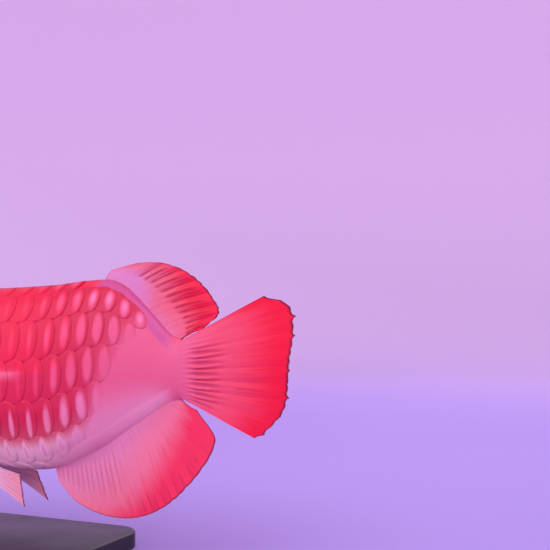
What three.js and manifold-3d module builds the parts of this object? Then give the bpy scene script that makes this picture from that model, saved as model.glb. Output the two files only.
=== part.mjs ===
// A life-size red Asian arowana on a plain display stand.
//
// Millimetres, +Z up, +X towards the tail, -Y the fish's left flank. The origin is the middle of the
// stand's underside. The fish is first modelled straight, in its own place (along, side, up): along is
// the distance behind the snout, side is across the body, up is above the line through the middle of
// the tail root. Every piece of it is then carried onto a gently bent swimming line.
import * as THREE from "three";
import { mergeVertices } from "three/addons/utils/BufferGeometryUtils.js";
import Module from "manifold-3d";

// Driving dimensions of the fish
const STANDARD_LENGTH = 500; // snout to the root of the tail fin
const GAP = 0.3; // clear space between neighbouring pieces
const HEAD_END = 100; // where the nape's scales begin
const TRUNK_CUT = 300; // between the front and the rear of the trunk
const TAIL_CUT = 432; // between the trunk and the tail's stalk

// Body outline, as stations down the fish: distance, top, bottom and half width
const STATIONS = [
  [0, 12, 8, 4.5],
  [4, 17, 2, 8.5],
  [20, 24.5, -13.5, 14.5],
  [45, 31.5, -33.5, 19],
  [80, 41.5, -56.5, 25],
  [125, 53.5, -75.5, 29.5],
  [200, 62.5, -89.5, 33],
  [291, 65, -93.5, 33],
  [350, 67.5, -91.5, 29],
  [408, 72, -68.5, 21.5],
  [432, 66, -55, 17.5],
  [464, 43.5, -37.8, 11.8],
  [484, 27.5, -27.5, 8.6],
  [STANDARD_LENGTH, 22.5, -22.5, 6.8],
];
const WIDEST_LEVEL = 0.511; // share of the depth, down from the back, where the body is widest
const RING_SIDES = 32;

// Scales lie in rows down each flank, each scale half a column behind its neighbours above and below
const SCALES = {
  rows: 7, // on each flank
  columns: 20,
  first: 118, // distance of the first column behind the snout
  spacing: 20.8,
  narrowing: 0.00567, // the columns draw closer towards the tail
  raise: 1.1, // of a scale's rear edge over the next scale
  edge: 0.35, // run of that step
  bulge: 0.75, // of the round rear edge, in columns
};

// The paired fins: where they grow from the flank, and how far the first and the last ray reach
const PECTORAL = {
  base: { from: 124, to: 141, upFrom: -51, upTo: -67 },
  lead: [112, 74, -30],
  trail: [58, 14, -20],
  spread: 0.85,
  rays: 7,
  rows: 6,
  sunk: 7,
  bow: 7,
  thick: [2.8, 1],
};
const PELVIC = {
  base: { from: 258, to: 270, upFrom: -87, upTo: -90 },
  lead: [74, 4, -36],
  trail: [53, 3, -7],
  spread: 1,
  rays: 5,
  rows: 4,
  sunk: 5,
  bow: 2,
  thick: [2, 1],
};

// The swimming line: it turns to the fish's left over one stretch and part of the way back over another
const TURN = { from: 300, to: 470, angle: (-15 * Math.PI) / 180 };
const RETURN = { from: 470, to: 600, angle: (11 * Math.PI) / 180 };

// The stand
const AXIS_HEIGHT = 164; // of the fish's own zero level above the floor
const OVER_STAND = 255; // distance behind the snout that stands over the base's middle
const BASE = { length: 300, width: 124, thickness: 14, corner: 26, bevel: 2 };
const RODS = { front: 168, rear: 240, radius: 4, facets: 12, intoBelly: 6 };
const FOOT = { radius: 9, rim: 2, collar: 5.2, collarAt: 5, top: 7 }; // of each rod

const wasm = await Module();
wasm.setup();

// A smooth function through [x, value] points
function through(points) {
  const slope = points.map((p, i) => {
    const before = points[Math.max(i - 1, 0)];
    const after = points[Math.min(i + 1, points.length - 1)];
    return (after[1] - before[1]) / (after[0] - before[0]);
  });
  return (x) => {
    let i = points.findIndex((p) => p[0] > x) - 1;
    if (i < -1) i = points.length - 2;
    i = Math.min(Math.max(i, 0), points.length - 2);
    const [x0, v0] = points[i];
    const [x1, v1] = points[i + 1];
    const span = x1 - x0;
    const t = Math.min(Math.max((x - x0) / span, 0), 1);
    const rise = t * t * (3 - 2 * t);
    const lead = t * (1 - t) * (1 - t) * span * slope[i];
    const trail = t * t * (1 - t) * span * slope[i + 1];
    return v0 + (v1 - v0) * rise + lead - trail;
  };
}

const mix = (a, b, t) => a + (b - a) * t;
const ease = (t) => {
  const c = Math.min(Math.max(t, 0), 1);
  return c * c * (3 - 2 * c);
};
const column = (k) => through(STATIONS.map((row) => [row[0], row[k]]));
const topAt = column(1);
const bottomAt = column(2);
const halfWidthAt = column(3);
const middleAt = (s) => mix(topAt(s), bottomAt(s), WIDEST_LEVEL);

// How square the section is: above the widest level it is full, below it narrows to a keel
const fullnessAt = (s, angle) => {
  const back = mix(0.68, 0.8, ease((s - 80) / 60));
  const belly = mix(0.95, 1.12, ease((s - 80) / 100));
  return mix(back, belly, (1 - Math.cos(angle)) / 2);
};

// A point of the body's surface. The angle runs from 0 at the back to pi at the belly, and side is -1
// on the left and 1 on the right.
function surfacePoint(s, angle, side, out = 0) {
  const at = (a) => {
    const middle = middleAt(s);
    const reach = Math.cos(a) > 0 ? topAt(s) - middle : middle - bottomAt(s);
    const across = halfWidthAt(s) * Math.sin(a) ** fullnessAt(s, a);
    return [across, middle + reach * Math.cos(a)];
  };
  const [y, z] = at(angle);
  if (out === 0) return new THREE.Vector3(s, side * y, z);
  const step = 0.02;
  const [y0, z0] = at(Math.max(angle - step, 0));
  const [y1, z1] = at(Math.min(angle + step, Math.PI));
  const onRidge = angle < step || angle > Math.PI - step;
  const normal = onRidge
    ? new THREE.Vector2(0, Math.cos(angle))
    : new THREE.Vector2(z0 - z1, y1 - y0).normalize();
  return new THREE.Vector3(s, side * (y + normal.x * out), z + normal.y * out);
}

// The angle of the body's surface at a given level
function angleAtLevel(s, level) {
  const middle = middleAt(s);
  const reach = level > middle ? topAt(s) - middle : middle - bottomAt(s);
  return Math.acos(Math.min(Math.max((level - middle) / reach, -1), 1));
}

// A ring round the body, from the back down the left flank and up the right
function bodyRing(s, out, sides) {
  return Array.from({ length: sides }, (_, i) => {
    const turn = (2 * Math.PI * (i + 0.5)) / sides;
    return turn <= Math.PI
      ? surfacePoint(s, turn, -1, out)
      : surfacePoint(s, 2 * Math.PI - turn, 1, out);
  });
}

function geometryOf(points, faces) {
  const flat = new Float32Array(points.flatMap((p) => [p.x, p.y, p.z]));
  return new THREE.BufferGeometry()
    .setAttribute("position", new THREE.BufferAttribute(flat, 3))
    .setIndex(faces);
}

// A closed skin over rings of points, with flat ends
function loft(rings) {
  const count = rings[0].length;
  const points = rings.flat();
  const faces = [];
  for (let r = 0; r + 1 < rings.length; r++) {
    for (let i = 0; i < count; i++) {
      const a = r * count + i;
      const b = r * count + ((i + 1) % count);
      faces.push(a, b, a + count, b, b + count, a + count);
    }
  }
  const addEnd = (ring, first, facesBack) => {
    const centre = ring
      .reduce((sum, p) => sum.add(p), new THREE.Vector3())
      .divideScalar(count);
    points.push(centre);
    for (let i = 0; i < count; i++) {
      const a = first + i;
      const b = first + ((i + 1) % count);
      faces.push(points.length - 1, facesBack ? b : a, facesBack ? a : b);
    }
  };
  addEnd(rings[0], 0, true);
  addEnd(rings[rings.length - 1], (rings.length - 1) * count, false);
  return geometryOf(points, faces);
}

// A closed thin sheet from columns of {middle, half} that run from its root to its edge. Both faces are
// split alike, so that they never cross where the sheet curves.
function sheet(columns) {
  const wide = columns.length;
  const tall = columns[0].length;
  const at = (c, r) =>
    columns[Math.min(Math.max(c, 0), wide - 1)][
      Math.min(Math.max(r, 0), tall - 1)
    ].middle;
  const faceA = [];
  const faceB = [];
  for (let c = 0; c < wide; c++) {
    for (let r = 0; r < tall; r++) {
      const along = at(c + 1, r).clone().sub(at(c - 1, r));
      const outward = at(c, r + 1).clone().sub(at(c, r - 1));
      const normal = along.cross(outward).normalize();
      const { middle, half } = columns[c][r];
      faceA.push(middle.clone().addScaledVector(normal, half));
      faceB.push(middle.clone().addScaledVector(normal, -half));
    }
  }
  const shift = wide * tall;
  const faces = [];
  for (let c = 0; c + 1 < wide; c++) {
    for (let r = 0; r + 1 < tall; r++) {
      const a = c * tall + r;
      const b = a + tall;
      faces.push(a, b, a + 1, b, b + 1, a + 1);
      faces.push(
        a + shift,
        a + 1 + shift,
        b + shift,
        b + shift,
        a + 1 + shift,
        b + 1 + shift,
      );
    }
  }
  const rim = [];
  for (let c = 0; c < wide; c++) rim.push(c * tall);
  for (let r = 1; r < tall; r++) rim.push((wide - 1) * tall + r);
  for (let c = wide - 2; c >= 0; c--) rim.push(c * tall + tall - 1);
  for (let r = tall - 2; r > 0; r--) rim.push(r);
  rim.forEach((p, i) => {
    const q = rim[(i + 1) % rim.length];
    faces.push(p, p + shift, q + shift, p, q + shift, q);
  });
  return geometryOf([...faceA, ...faceB], faces);
}

// A round tapering tube along a curve
function taper(curve, radiusAt, steps, sides) {
  const rings = [];
  for (let k = 0; k <= steps; k++) {
    const t = k / steps;
    const ahead = curve.getTangent(t);
    const across = new THREE.Vector3(0, 1, 0.3).cross(ahead).normalize();
    const other = ahead.clone().cross(across);
    rings.push(
      Array.from({ length: sides }, (_, i) => {
        const turn = (2 * Math.PI * i) / sides;
        return curve
          .getPoint(t)
          .addScaledVector(across, radiusAt(t) * Math.cos(turn))
          .addScaledVector(other, radiusAt(t) * Math.sin(turn));
      }),
    );
  }
  return loft(rings);
}

// An outline of [x, z] corners, where [cx, cz, x, z] is a curve by way of a control point
function shapeOf(outline) {
  const shape = new THREE.Shape();
  shape.moveTo(...outline[0]);
  outline.slice(1).forEach((p) => {
    if (p.length === 2) shape.lineTo(...p);
    else shape.quadraticCurveTo(...p);
  });
  const [first, last] = [outline[0], outline[outline.length - 1].slice(-2)];
  if (first[0] !== last[0] || first[1] !== last[1]) shape.closePath();
  return shape;
}

// A block whose side view is the given outline, from side y0 to side y1
function block(outline, y0, y1) {
  const made = new THREE.ExtrudeGeometry(shapeOf(outline), {
    depth: y1 - y0,
    bevelEnabled: false,
    curveSegments: 4,
  });
  return made.rotateX(Math.PI / 2).translate(0, y1, 0);
}

// From three.js geometry to a manifold solid and back
function solid(geometry) {
  const bare = geometry.clone();
  bare.deleteAttribute("normal");
  bare.deleteAttribute("uv");
  const merged = mergeVertices(bare, 1e-4);
  return new wasm.Manifold(
    new wasm.Mesh({
      numProp: 3,
      vertProperties: merged.attributes.position.array,
      triVerts: new Uint32Array(merged.index.array),
    }),
  );
}

function largest(made) {
  return made
    .decompose()
    .reduce((best, piece) => (piece.volume() > best.volume() ? piece : best));
}

function geometryFrom(made) {
  const { numProp, numVert, vertProperties, triVerts } =
    largest(made).getMesh();
  const points = Array.from(
    { length: numVert },
    (_, i) =>
      new THREE.Vector3(...vertProperties.subarray(i * numProp, i * numProp + 3)),
  );
  return geometryOf(points, [...triVerts]);
}

// The bent swimming line, as a table of places a step apart
const LINE_STEP = 1;
const LINE_START = -80;
const LINE_END = 700;
const headingAt = (s) =>
  TURN.angle * ease((s - TURN.from) / (TURN.to - TURN.from)) +
  RETURN.angle * ease((s - RETURN.from) / (RETURN.to - RETURN.from));
const line = [new THREE.Vector2(LINE_START, 0)];
for (let s = LINE_START; s < LINE_END; s += LINE_STEP) {
  const heading = headingAt(s + LINE_STEP / 2);
  const step = new THREE.Vector2(Math.cos(heading), Math.sin(heading));
  line.push(line[line.length - 1].clone().addScaledVector(step, LINE_STEP));
}

// Carries a point of the straight fish to its place above the stand
function toStand({ x: s, y: side, z: up }) {
  const place = (s - LINE_START) / LINE_STEP;
  const k = Math.min(Math.max(Math.floor(place), 0), line.length - 2);
  const on = line[k].clone().lerp(line[k + 1], place - k);
  const heading = headingAt(s);
  return [
    on.x - Math.sin(heading) * side - OVER_STAND,
    on.y + Math.cos(heading) * side,
    up + AXIS_HEIGHT,
  ];
}

function bendOntoLine(geometry) {
  const { position } = geometry.attributes;
  const point = new THREE.Vector3();
  for (let i = 0; i < position.count; i++) {
    point.fromBufferAttribute(position, i);
    position.setXYZ(i, ...toStand(point));
  }
  return geometry;
}

const fish = new THREE.Group();
function finish(name, geometry, material) {
  geometry.computeVertexNormals();
  const mesh = new THREE.Mesh(geometry, material);
  mesh.name = name;
  fish.add(mesh);
}
const addFlesh = (name, made, material) =>
  finish(name, bendOntoLine(geometryFrom(made)), material);

// Materials, as the photograph shows them
const paint = (color, roughness, metalness = 0) =>
  new THREE.MeshStandardMaterial({ color, roughness, metalness });
const SCALE_RED = paint(0xdc2a50, 0.35, 0.1);
const TAIL_PINK = paint(0xd85a85, 0.35, 0.1);
const HEAD_RED = paint(0xb83a48, 0.4);
const GILL_RED = paint(0xcc2c44, 0.3, 0.2);
const FIN_RED = paint(0xe0284c, 0.45);
const LIP_RED = paint(0xa84450, 0.5);
const EYE_BLACK = paint(0x1a1416, 0.1);
const STAND_BLACK = paint(0x18181a, 0.45);
const ROD_STEEL = paint(0xb8bcc0, 0.3, 1);

// The plain body as one solid, straight
const stationsBetween = (from, to, count) =>
  Array.from({ length: count + 1 }, (_, i) => mix(from, to, i / count));
const SNOUT_RINGS = [0, 1.5, 4.5, 10, 18, 28];
const SNOUT_END = 38; // behind it the rings are evenly spaced
function bodySolid(out, { end, step, sides }) {
  const rest = stationsBetween(SNOUT_END, end, Math.round((end - SNOUT_END) / step));
  return solid(loft([...SNOUT_RINGS, ...rest].map((s) => bodyRing(s, out, sides))));
}

// Rings for the skull, for its plates, and for the clear space round the body that trims what it meets
const SKULL_RINGS = { end: 160, step: 13, sides: RING_SIDES };
const PLATE_RINGS = { end: 160, step: 15, sides: 24 };
const CLEAR_RINGS = { end: STANDARD_LENGTH, step: 6, sides: 6 * SCALES.rows };
const CLEAR_SPACE = 1.2 * GAP;
const bodyWithGap = bodySolid(CLEAR_SPACE, CLEAR_RINGS);

// The trunk and tail with their scales. Each row has three lines of points along the body, and each
// scale four points on a line: two for the step at its rear edge and two on the slope up to the next.
const columnAt = (u) =>
  SCALES.first + SCALES.spacing * u - SCALES.narrowing * u ** 3;
const LINES_IN_ROW = 3;
const SAMPLES_IN_SCALE = 4;
const scaleLines = SCALES.rows * LINES_IN_ROW;
const SCALE_POINTS = [
  { along: 0, lift: 1, step: -1 },
  { along: 0, lift: 0.05, step: 1 },
  { along: 0.45, lift: 0.35, step: 0 },
  { along: 0.75, lift: 0.7, step: 0 },
];

// The scales flatten along the back and the belly, towards the tail, and where a fin or a rod meets them
const FADE = { ridge: 0.1, ridgeRun: 0.2, tailRun: 30, finSpot: 0.75, rodSpot: 1.5 };
const SMOOTH_SPOTS = [
  ...[PECTORAL, PELVIC].map(({ base }) => [
    mix(base.from, base.to, 0.5),
    mix(base.upFrom, base.upTo, 0.5),
    FADE.finSpot * Math.hypot(base.to - base.from, base.upTo - base.upFrom),
  ]),
  ...[RODS.front, RODS.rear].map((s) => [s, bottomAt(s), FADE.rodSpot * RODS.radius]),
];
const LAST_SCALE = columnAt(SCALES.columns - 1) + 2;
function scaleFade(s, angle) {
  const fromRidge = Math.min(angle, Math.PI - angle);
  const alongBack = ease((fromRidge - FADE.ridge) / FADE.ridgeRun);
  const towardsTail = ease((LAST_SCALE - s) / FADE.tailRun);
  const { z } = surfacePoint(s, angle, 1);
  const clearOfSpots = SMOOTH_SPOTS.map(([along, up, reach]) =>
    ease(Math.hypot(s - along, z - up) / reach - 1),
  );
  return Math.min(alongBack * towardsTail, ...clearOfSpots);
}
function scalePoint(lineIndex, sample, side) {
  const row = Math.floor(lineIndex / LINES_IN_ROW);
  const across = ((lineIndex % LINES_IN_ROW) - 1) / (LINES_IN_ROW / 2);
  const angle = ((lineIndex + 0.5) * Math.PI) / scaleLines;
  const shift = row % 2 ? SAMPLES_IN_SCALE / 2 : 0;
  const place = sample - shift;
  const column = Math.floor(place / SAMPLES_IN_SCALE);
  const phase = place - column * SAMPLES_IN_SCALE;
  const bulge = SCALES.bulge * Math.sqrt(1 - across * across);
  const u = column + shift / SAMPLES_IN_SCALE + bulge;
  const { along, lift, step } = SCALE_POINTS[phase];
  const s = Math.min(columnAt(u + along) + step * SCALES.edge, STANDARD_LENGTH);
  const raise = SCALES.raise * lift * scaleFade(s, angle);
  return surfacePoint(s, angle, side, raise);
}
const FIRST_SAMPLE = -7; // inside the head, whose edge trims the front of the trunk
const SMOOTH_RINGS = 4; // between the last scale and the tail's root
function scaledBody() {
  const rings = [];
  for (let k = FIRST_SAMPLE; k < SAMPLES_IN_SCALE * (SCALES.columns - 1); k++) {
    const left = Array.from({ length: scaleLines }, (_, i) => scalePoint(i, k, -1));
    const right = Array.from({ length: scaleLines }, (_, i) =>
      scalePoint(scaleLines - 1 - i, k, 1),
    );
    rings.push([...left, ...right]);
  }
  const last = columnAt(SCALES.columns - 0.5);
  stationsBetween(last, STANDARD_LENGTH, SMOOTH_RINGS).forEach((s) =>
    rings.push(bodyRing(s, 0, 2 * scaleLines)),
  );
  return solid(loft(rings));
}

// The edge between the head and the trunk: the gill cover's round rear margin, up to the nape and down
// to the throat
const FAR = 140;
const headOutline = (shift) => [
  [-FAR, -FAR],
  [96 + shift, -FAR],
  [97 + shift, -66],
  [112 + shift, -52, 120 + shift, -30],
  [129 + shift, -4, 118 + shift, 17],
  [112 + shift, 29, HEAD_END + 1 + shift, 34],
  [HEAD_END + shift, FAR],
  [-FAR, FAR],
];
const wholeBlock = (outline) => solid(block(outline, -FAR, FAR));
const headBlock = wholeBlock(headOutline(0));
const headBlockWithGap = wholeBlock(headOutline(1.4 * GAP));

// A bony plate of the head: what lies between two depths of the surface inside an outline
function plate(outline, side, raised, deep, inset) {
  const [y0, y1] = side < 0 ? [-FAR, -inset] : [inset, FAR];
  return bodySolid(raised, PLATE_RINGS)
    .subtract(bodySolid(-deep, PLATE_RINGS))
    .intersect(solid(block(outline, y0, y1)));
}

// The gill cover, the cheek plate behind the eye and the long bone of the upper jaw, each a plate in a
// recess of the skull
const GILL_COVER = [
  [84, 24],
  [100, 31, 110, 24.5],
  [129 - GAP, -4, 119.2, -30],
  [112, -50, 99, -60],
  [90, -58, 84, -47],
  [78, -14, 84, 24],
];
const CHEEK = [
  [61, 20],
  [70, 25, 82, 23],
  [76.5, -14, 81.5, -44],
  [73, -40, 68, -28],
  [60, -16, 60, -4],
  [64, 8, 61, 20],
];
const UPPER_JAW = [
  [9, 12],
  [34, -2, 57, -23.5],
  [65, -31, 66.5, -25],
  [67, -18, 58, -13],
  [38, 4, 15, 15.5],
  [11, 16, 9, 12],
];

// The outline moved outward by a little, as a fine polygon
function grow(outline, by) {
  const points = shapeOf(outline).getPoints(4);
  const count = points.length;
  const turn = THREE.ShapeUtils.isClockWise(points) ? 1 : -1;
  return points.map((p, i) => {
    const before = points[(i + count - 1) % count];
    const after = points[(i + 1) % count];
    const a = p.clone().sub(before).normalize();
    const b = after.clone().sub(p).normalize();
    const middle = a.clone().add(b).normalize();
    const reach = by / Math.max(middle.dot(b), 0.5);
    return [p.x - turn * middle.y * reach, p.y + turn * middle.x * reach];
  });
}
const PLATE_INSET = 2; // from the middle plane
const ABOVE_SKIN = 6; // how far a recess is cut out over the skin
const JAW_PLATE = { name: "upper_jaw", outline: UPPER_JAW, raised: 1.2, deep: 1.8 };
const PLATES = [
  { ...JAW_PLATE, material: LIP_RED },
  { name: "gill_cover", outline: GILL_COVER, raised: 1.1, deep: 2.4, material: GILL_RED },
  { name: "cheek", outline: CHEEK, raised: 0.8, deep: 1.8, material: GILL_RED },
];
const recess = ({ outline, deep }, side) =>
  plate(grow(outline, GAP), side, ABOVE_SKIN, deep + GAP, PLATE_INSET - GAP);
const SIDES = [
  ["left", -1],
  ["right", 1],
];

// The mouth: a steep cleft from the snout to below the eye, with the lower jaw in front
const MOUTH_WIDTH = 0.5;
const jawOutline = (open) => [
  [-FAR, 40],
  [-6, 18 - open],
  [0, 13.4 - open],
  [30, -4 - open, 57, -26 - open],
  [66, -36 - open, 76 - open, -58],
  [76 - open, -FAR],
  [-FAR, -FAR],
];
const jawBlock = wholeBlock(jawOutline(MOUTH_WIDTH));
const jawBlockWithGap = wholeBlock(jawOutline(0));

// The eyes, large and high, and the nostrils in front of them
const EYE = { along: 43, up: 8.5, radius: 11.5, depth: 8, out: 3 };
const NOSTRILS = [
  { along: 13, up: 18.5, radius: 1.3 },
  { along: 24, up: 21.5, radius: 1.6 },
];
const NOSTRIL = { longer: 1.4, deep: 2.2 };
const EYE_FACETS = [14, 8]; // round and down
const NOSTRIL_FACETS = [6, 4];
function ball(s, y, z, radii, [sides, rings]) {
  return solid(
    new THREE.SphereGeometry(1, sides, rings)
      .rotateX(Math.PI / 2)
      .scale(...radii)
      .translate(s, y, z),
  );
}
function eyeBall(side, extra) {
  const flank = surfacePoint(EYE.along, angleAtLevel(EYE.along, EYE.up), side, EYE.out);
  const wide = EYE.radius + extra;
  const radii = [wide, EYE.depth + extra, wide];
  return ball(EYE.along, flank.y - side * EYE.depth, EYE.up, radii, EYE_FACETS);
}

// The skull: the front of the body without the mouth, eyes, nostrils and plates
const head = bodySolid(0, SKULL_RINGS);
let skull = head.intersect(headBlock).subtract(jawBlockWithGap);
SIDES.forEach(([, side]) => {
  skull = skull.subtract(eyeBall(side, GAP));
  NOSTRILS.forEach(({ along, up, radius }) => {
    const skin = surfacePoint(along, angleAtLevel(along, up), side);
    const radii = [radius * NOSTRIL.longer, NOSTRIL.deep, radius];
    skull = skull.subtract(ball(along, skin.y, up, radii, NOSTRIL_FACETS));
  });
  PLATES.forEach((made) => {
    skull = skull.subtract(recess(made, side));
  });
});
addFlesh("head", skull, HEAD_RED);
let lowerJaw = head.intersect(jawBlock);
SIDES.forEach(([, side]) => {
  lowerJaw = lowerJaw.subtract(recess(JAW_PLATE, side));
});
addFlesh("lower_jaw", lowerJaw, HEAD_RED);
SIDES.forEach(([word, side]) => {
  addFlesh("eye_" + word, eyeBall(side, 0), EYE_BLACK);
  PLATES.forEach(({ name, outline, raised, deep, material }, k) => {
    let made = plate(outline, side, raised, deep, PLATE_INSET).subtract(eyeBall(side, GAP));
    PLATES.slice(0, k).forEach((earlier) => {
      made = made.subtract(wholeBlock(grow(earlier.outline, GAP)));
    });
    addFlesh(name + "_" + word, made, material);
  });
});

// Two barbels on the tip of the lower jaw, reaching forward and a little up
const BARBEL = { thick: 1.7, thin: 0.45, steps: 7, facets: 6 };
SIDES.forEach(([word, side]) => {
  const path = new THREE.CatmullRomCurve3([
    new THREE.Vector3(5, side * 4.2, 8),
    new THREE.Vector3(-8, side * 6.5, 7.5),
    new THREE.Vector3(-24, side * 10, 12),
    new THREE.Vector3(-40, side * 14.5, 21),
  ]);
  const radiusAt = (t) => mix(BARBEL.thick, BARBEL.thin, t);
  const barbel = solid(taper(path, radiusAt, BARBEL.steps, BARBEL.facets));
  addFlesh("barbel_" + word, barbel.subtract(bodyWithGap), LIP_RED);
});

// The trunk and the tail's stalk, parted by thin cuts
const between = (from, to) =>
  wholeBlock([
    [from, -FAR],
    [to, -FAR],
    [to, FAR],
    [from, FAR],
  ]);
const trunk = scaledBody().subtract(headBlockWithGap);
addFlesh("trunk_front", trunk.intersect(between(0, TRUNK_CUT)), SCALE_RED);
addFlesh(
  "trunk_rear",
  trunk.intersect(between(TRUNK_CUT + GAP, TAIL_CUT)),
  SCALE_RED,
);
addFlesh(
  "tail_stalk",
  trunk.intersect(between(TAIL_CUT + GAP, STANDARD_LENGTH)),
  TAIL_PINK,
);

// Every fin is a sheet with a line of points on each ray, where it is thick, and one on the membrane
// between each two rays, where it is thin and its edge draws back a little
const RAY_SHARE = { membrane: 0.5, edge: 0.972, levelling: 0.6 };
function rayColumns(rays, columnOf) {
  const count = 2 * rays - 1;
  return Array.from({ length: count }, (_, i) => {
    const onRay = i % 2 === 0;
    const share = onRay ? 1 : RAY_SHARE.membrane;
    const reach = onRay ? 1 : RAY_SHARE.edge;
    return columnOf(i / (count - 1), share, reach);
  });
}

// A fin on the middle line of the body, from its rays' roots and tips
const ROOT_GAP = 1.4 * GAP;
const MEDIAN_SHEET = { thick: [2.4, 0.8], rows: 4, wave: 1.5 };
function medianFin({ rays, rootAt, tipAt, bow, thick, rows, wave }) {
  const columns = rayColumns(rays, (t, share, reach) => {
    const root = rootAt(t);
    const tip = tipAt(t);
    return Array.from({ length: rows + 1 }, (_, k) => {
      const v = (reach * k) / rows;
      const along = mix(root[0], tip[0], v) + bow[0] * v * (1 - v);
      const up = mix(root[1], tip[1], v) + bow[1] * v * (1 - v);
      const side = wave * v * Math.sin(t * Math.PI * 3 + v * 2);
      return {
        middle: new THREE.Vector3(along, side, up),
        half: (mix(thick[0], thick[1], v) * mix(share, 1, v * RAY_SHARE.levelling)) / 2,
      };
    });
  });
  return solid(sheet(columns));
}
const outlinePath = (points) => {
  const along = through(points.map((p) => [p[0], p[1]]));
  const up = through(points.map((p) => [p[0], p[2]]));
  return (t) => [along(t), up(t)];
};

// Back fin: t is the share of its base, with each ray's tip
const DORSAL = { from: 410, to: 489, rays: 17 };
const dorsalTips = outlinePath([
  [0, 414, 80.5],
  [0.2, 446, 84.5],
  [0.4, 479, 83],
  [0.6, 506, 73],
  [0.8, 526, 54.5],
  [0.9, 532, 43.5],
  [1, 516, 31],
]);
addFlesh(
  "dorsal_fin",
  medianFin({
    rays: DORSAL.rays,
    rootAt: (t) => {
      const s = mix(DORSAL.from, DORSAL.to, t);
      return [s, topAt(s) + ROOT_GAP];
    },
    tipAt: dorsalTips,
    bow: [0, 8],
    ...MEDIAN_SHEET,
  }),
  FIN_RED,
);

// Anal fin
const ANAL = { from: 352, to: 490, rays: 23 };
const analTips = outlinePath([
  [0, 357, -101],
  [0.15, 379, -118],
  [0.35, 414, -126],
  [0.55, 456, -119],
  [0.75, 497, -95],
  [0.92, 528, -54],
  [1, 509, -31],
]);
addFlesh(
  "anal_fin",
  medianFin({
    rays: ANAL.rays,
    rootAt: (t) => {
      const s = mix(ANAL.to, ANAL.from, t);
      return [s, bottomAt(s) - ROOT_GAP];
    },
    tipAt: (t) => analTips(1 - t),
    bow: [0, -6],
    ...MEDIAN_SHEET,
  }),
  FIN_RED,
);

// Tail fin: t runs from its lower to its upper edge
const CAUDAL = {
  rays: 16,
  rows: 5,
  rowPower: 1.3, // the rows of points crowd towards the root
  root: STANDARD_LENGTH + GAP,
  rootUp: 21.8, // half the root's height
  rootArc: 1.36, // spreads the rays round the root
  rootHalf: [1.2, 6], // half the root's thickness, at its edges and in its middle
  half: [1.2, 0.4], // half the fin's thickness, from its root to its edge
  thinsBy: 0.22, // the share of the ray in which the root thins
  wave: 1.5,
};
const caudalTips = outlinePath([
  [0, 563, -48.5],
  [0.06, 571, -45.5],
  [0.22, 589, -26],
  [0.5, 594, 6],
  [0.75, 597, 33],
  [0.9, 592, 51],
  [1, 571, 57],
]);
const caudalColumns = rayColumns(CAUDAL.rays, (t, share, reach) => {
  const across = mix(-1, 1, t);
  const rootUp = (CAUDAL.rootUp * Math.sin(across * CAUDAL.rootArc)) / Math.sin(CAUDAL.rootArc);
  const rootHalf = mix(...CAUDAL.rootHalf, Math.sqrt(1 - across * across * 0.98));
  const tip = caudalTips(t);
  return Array.from({ length: CAUDAL.rows + 1 }, (_, k) => {
    const v = reach * (k / CAUDAL.rows) ** CAUDAL.rowPower;
    const thick = mix(...CAUDAL.half, v) * mix(share, 1, v * RAY_SHARE.levelling);
    return {
      middle: new THREE.Vector3(
        mix(CAUDAL.root, tip[0], v),
        CAUDAL.wave * v * Math.sin(t * 7 + v),
        mix(rootUp, tip[1], v),
      ),
      half: mix(rootHalf, thick, ease(v / CAUDAL.thinsBy)),
    };
  });
});
addFlesh("caudal_fin", solid(sheet(caudalColumns.reverse())), FIN_RED);

// A paired fin: rays that fan from a short base on the flank, from the leading ray to the inner one
function pairedFin(side, fin) {
  const columns = rayColumns(fin.rays, (t, share, edge) => {
    const s = mix(fin.base.from, fin.base.to, t);
    const level = mix(fin.base.upFrom, fin.base.upTo, t);
    const rootSurface = surfacePoint(s, angleAtLevel(s, level), side);
    const onSide = ([along, out, up]) => new THREE.Vector3(along, side * out, up);
    const reach = onSide(fin.lead).lerp(onSide(fin.trail), t ** fin.spread);
    return Array.from({ length: fin.rows + 1 }, (_, k) => {
      const v = mix(-fin.sunk / reach.length(), edge, k / fin.rows);
      const bow = fin.bow * 4 * v * (1 - v);
      return {
        middle: rootSurface
          .clone()
          .addScaledVector(reach, v)
          .add(new THREE.Vector3(-bow * 0.3, side * bow * 0.8, bow)),
        half: (mix(fin.thick[0], fin.thick[1], Math.max(v, 0)) * share) / 2,
      };
    });
  });
  return sheet(columns);
}
SIDES.forEach(([word, side]) => {
  [
    ["pectoral_fin_", PECTORAL],
    ["pelvic_fin_", PELVIC],
  ].forEach(([name, fin]) => {
    const made = solid(pairedFin(side, fin)).subtract(bodyWithGap);
    addFlesh(name + word, made, FIN_RED);
  });
});

// The stand: a flat base with eased edges and two steel rods up to the belly
function standBase() {
  const { length, width, thickness, corner, bevel } = BASE;
  const x = length / 2 - bevel;
  const y = width / 2 - bevel;
  const r = corner - bevel;
  const shape = new THREE.Shape();
  shape.moveTo(-x + r, -y);
  shape.lineTo(x - r, -y);
  shape.absarc(x - r, -y + r, r, -Math.PI / 2, 0);
  shape.lineTo(x, y - r);
  shape.absarc(x - r, y - r, r, 0, Math.PI / 2);
  shape.lineTo(-x + r, y);
  shape.absarc(-x + r, y - r, r, Math.PI / 2, Math.PI);
  shape.lineTo(-x, -y + r);
  shape.absarc(-x + r, -y + r, r, Math.PI, 1.5 * Math.PI);
  const made = new THREE.ExtrudeGeometry(shape, {
    depth: thickness - bevel,
    bevelThickness: bevel,
    bevelSize: bevel,
    bevelSegments: 1,
    curveSegments: 3,
  });
  const position = made.attributes.position;
  for (let i = 0; i < position.count; i++) {
    if (position.getZ(i) < 0) position.setZ(i, 0);
  }
  return made;
}
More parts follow.
